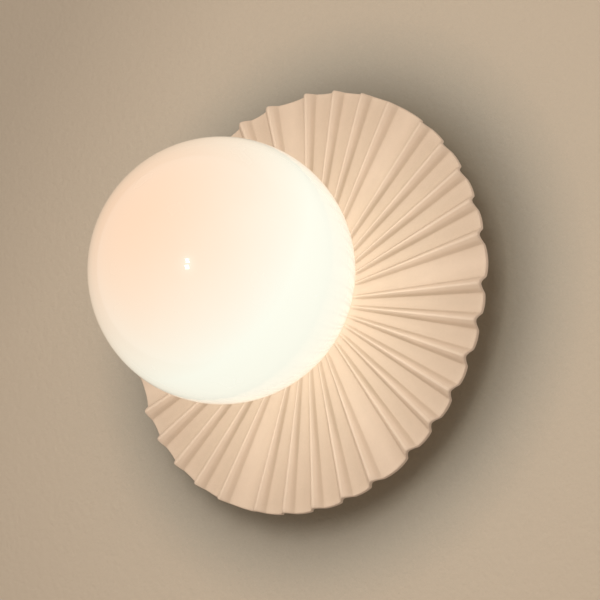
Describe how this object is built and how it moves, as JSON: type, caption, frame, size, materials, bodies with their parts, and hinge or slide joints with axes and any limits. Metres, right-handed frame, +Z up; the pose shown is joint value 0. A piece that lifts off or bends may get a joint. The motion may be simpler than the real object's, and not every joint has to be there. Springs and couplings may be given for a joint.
{
  "type": "wall lamp",
  "caption": "Wall lamp: a round fluted shell disc held off the wall by a canopy, with an opal glass globe screwed onto its middle over a plug-in bulb.",
  "frame": {"origin": "middle of the wall bracket's back face, on the lamp's axis, in the plane of the wall", "axes": "+Z up the wall, -Y out of the wall into the room, +X to the right as seen from the room"},
  "size_m": [0.25, 0.1774, 0.25],
  "materials": {
    "plated_steel": "zinc plated",
    "brass": "bare, satin",
    "block_plastic": "moulded, matte",
    "canopy_enamel": "cream powder coat, matte",
    "fibre": "pressed fibre",
    "shell_coat": "warm off-white coat, fine matte texture",
    "tinned_copper": "tin plated",
    "socket_ceramic": "steatite, satin",
    "brown_insulation": "extruded",
    "blue_insulation": "extruded",
    "green_insulation": "extruded",
    "glass_sleeve": "braided glass fibre",
    "silicone": "translucent white",
    "bulb_plastic": "moulded",
    "bulb_frost": "frosted, glowing",
    "board": "white solder mask",
    "led_phosphor": "phosphor, glowing",
    "opal_glass": "opal, glossy, lit from inside"
  },
  "bodies": {
    "fixture": {"wall_bracket": "plated_steel", "earth_screw": "brass", "earth_clamp": "brass", "terminal_block": "block_plastic", "terminal_barrels": "brass", "terminal_screws": "plated_steel", "terminal_fixing_screw": "plated_steel", "canopy": "canopy_enamel", "canopy_screws": "canopy_enamel", "shell_spacer": "fibre", "fluted_shell": "shell_coat", "threaded_tube": "brass", "rear_nut": "brass", "lock_washer": "plated_steel", "earth_ring_tag": "tinned_copper", "front_nut": "brass", "tube_bush": "block_plastic", "glass_holder": "canopy_enamel", "lampholder_stirrup": "plated_steel", "lampholder_body": "socket_ceramic", "lampholder_contacts": "tinned_copper", "lampholder_screws": "plated_steel", "live_wire": "brown_insulation", "neutral_wire": "blue_insulation", "earth_wire": "green_insulation", "wire_sleeve": "glass_sleeve"},
    "seal_ring": {"glass_seal": "silicone"},
    "globe": {"glass_globe": "opal_glass"},
    "bulb": {"bulb_base": "bulb_plastic", "bulb_pins": "tinned_copper", "bulb_cover": "bulb_frost", "bulb_board": "board", "bulb_leds": "led_phosphor"}
  },
  "joints": [
    {"name": "globe_advance", "type": "slide", "parent": "fixture", "child": "seal_ring", "axis": [0, -1, 0], "range_m": [0, 0.0061]},
    {"name": "globe_unscrew", "type": "hinge", "parent": "seal_ring", "child": "globe", "pos_m": [0, -0.03, 0], "axis": [0, -1, 0], "range_deg": [0, 540]},
    {"name": "bulb_pull", "type": "slide", "parent": "fixture", "child": "bulb", "axis": [0, -1, 0], "range_m": [0, 0.015]}
  ],
  "couplings": [
    {"joint": "globe_advance", "follows": "globe_unscrew", "m_per_rad": 0.00063662}
  ]
}
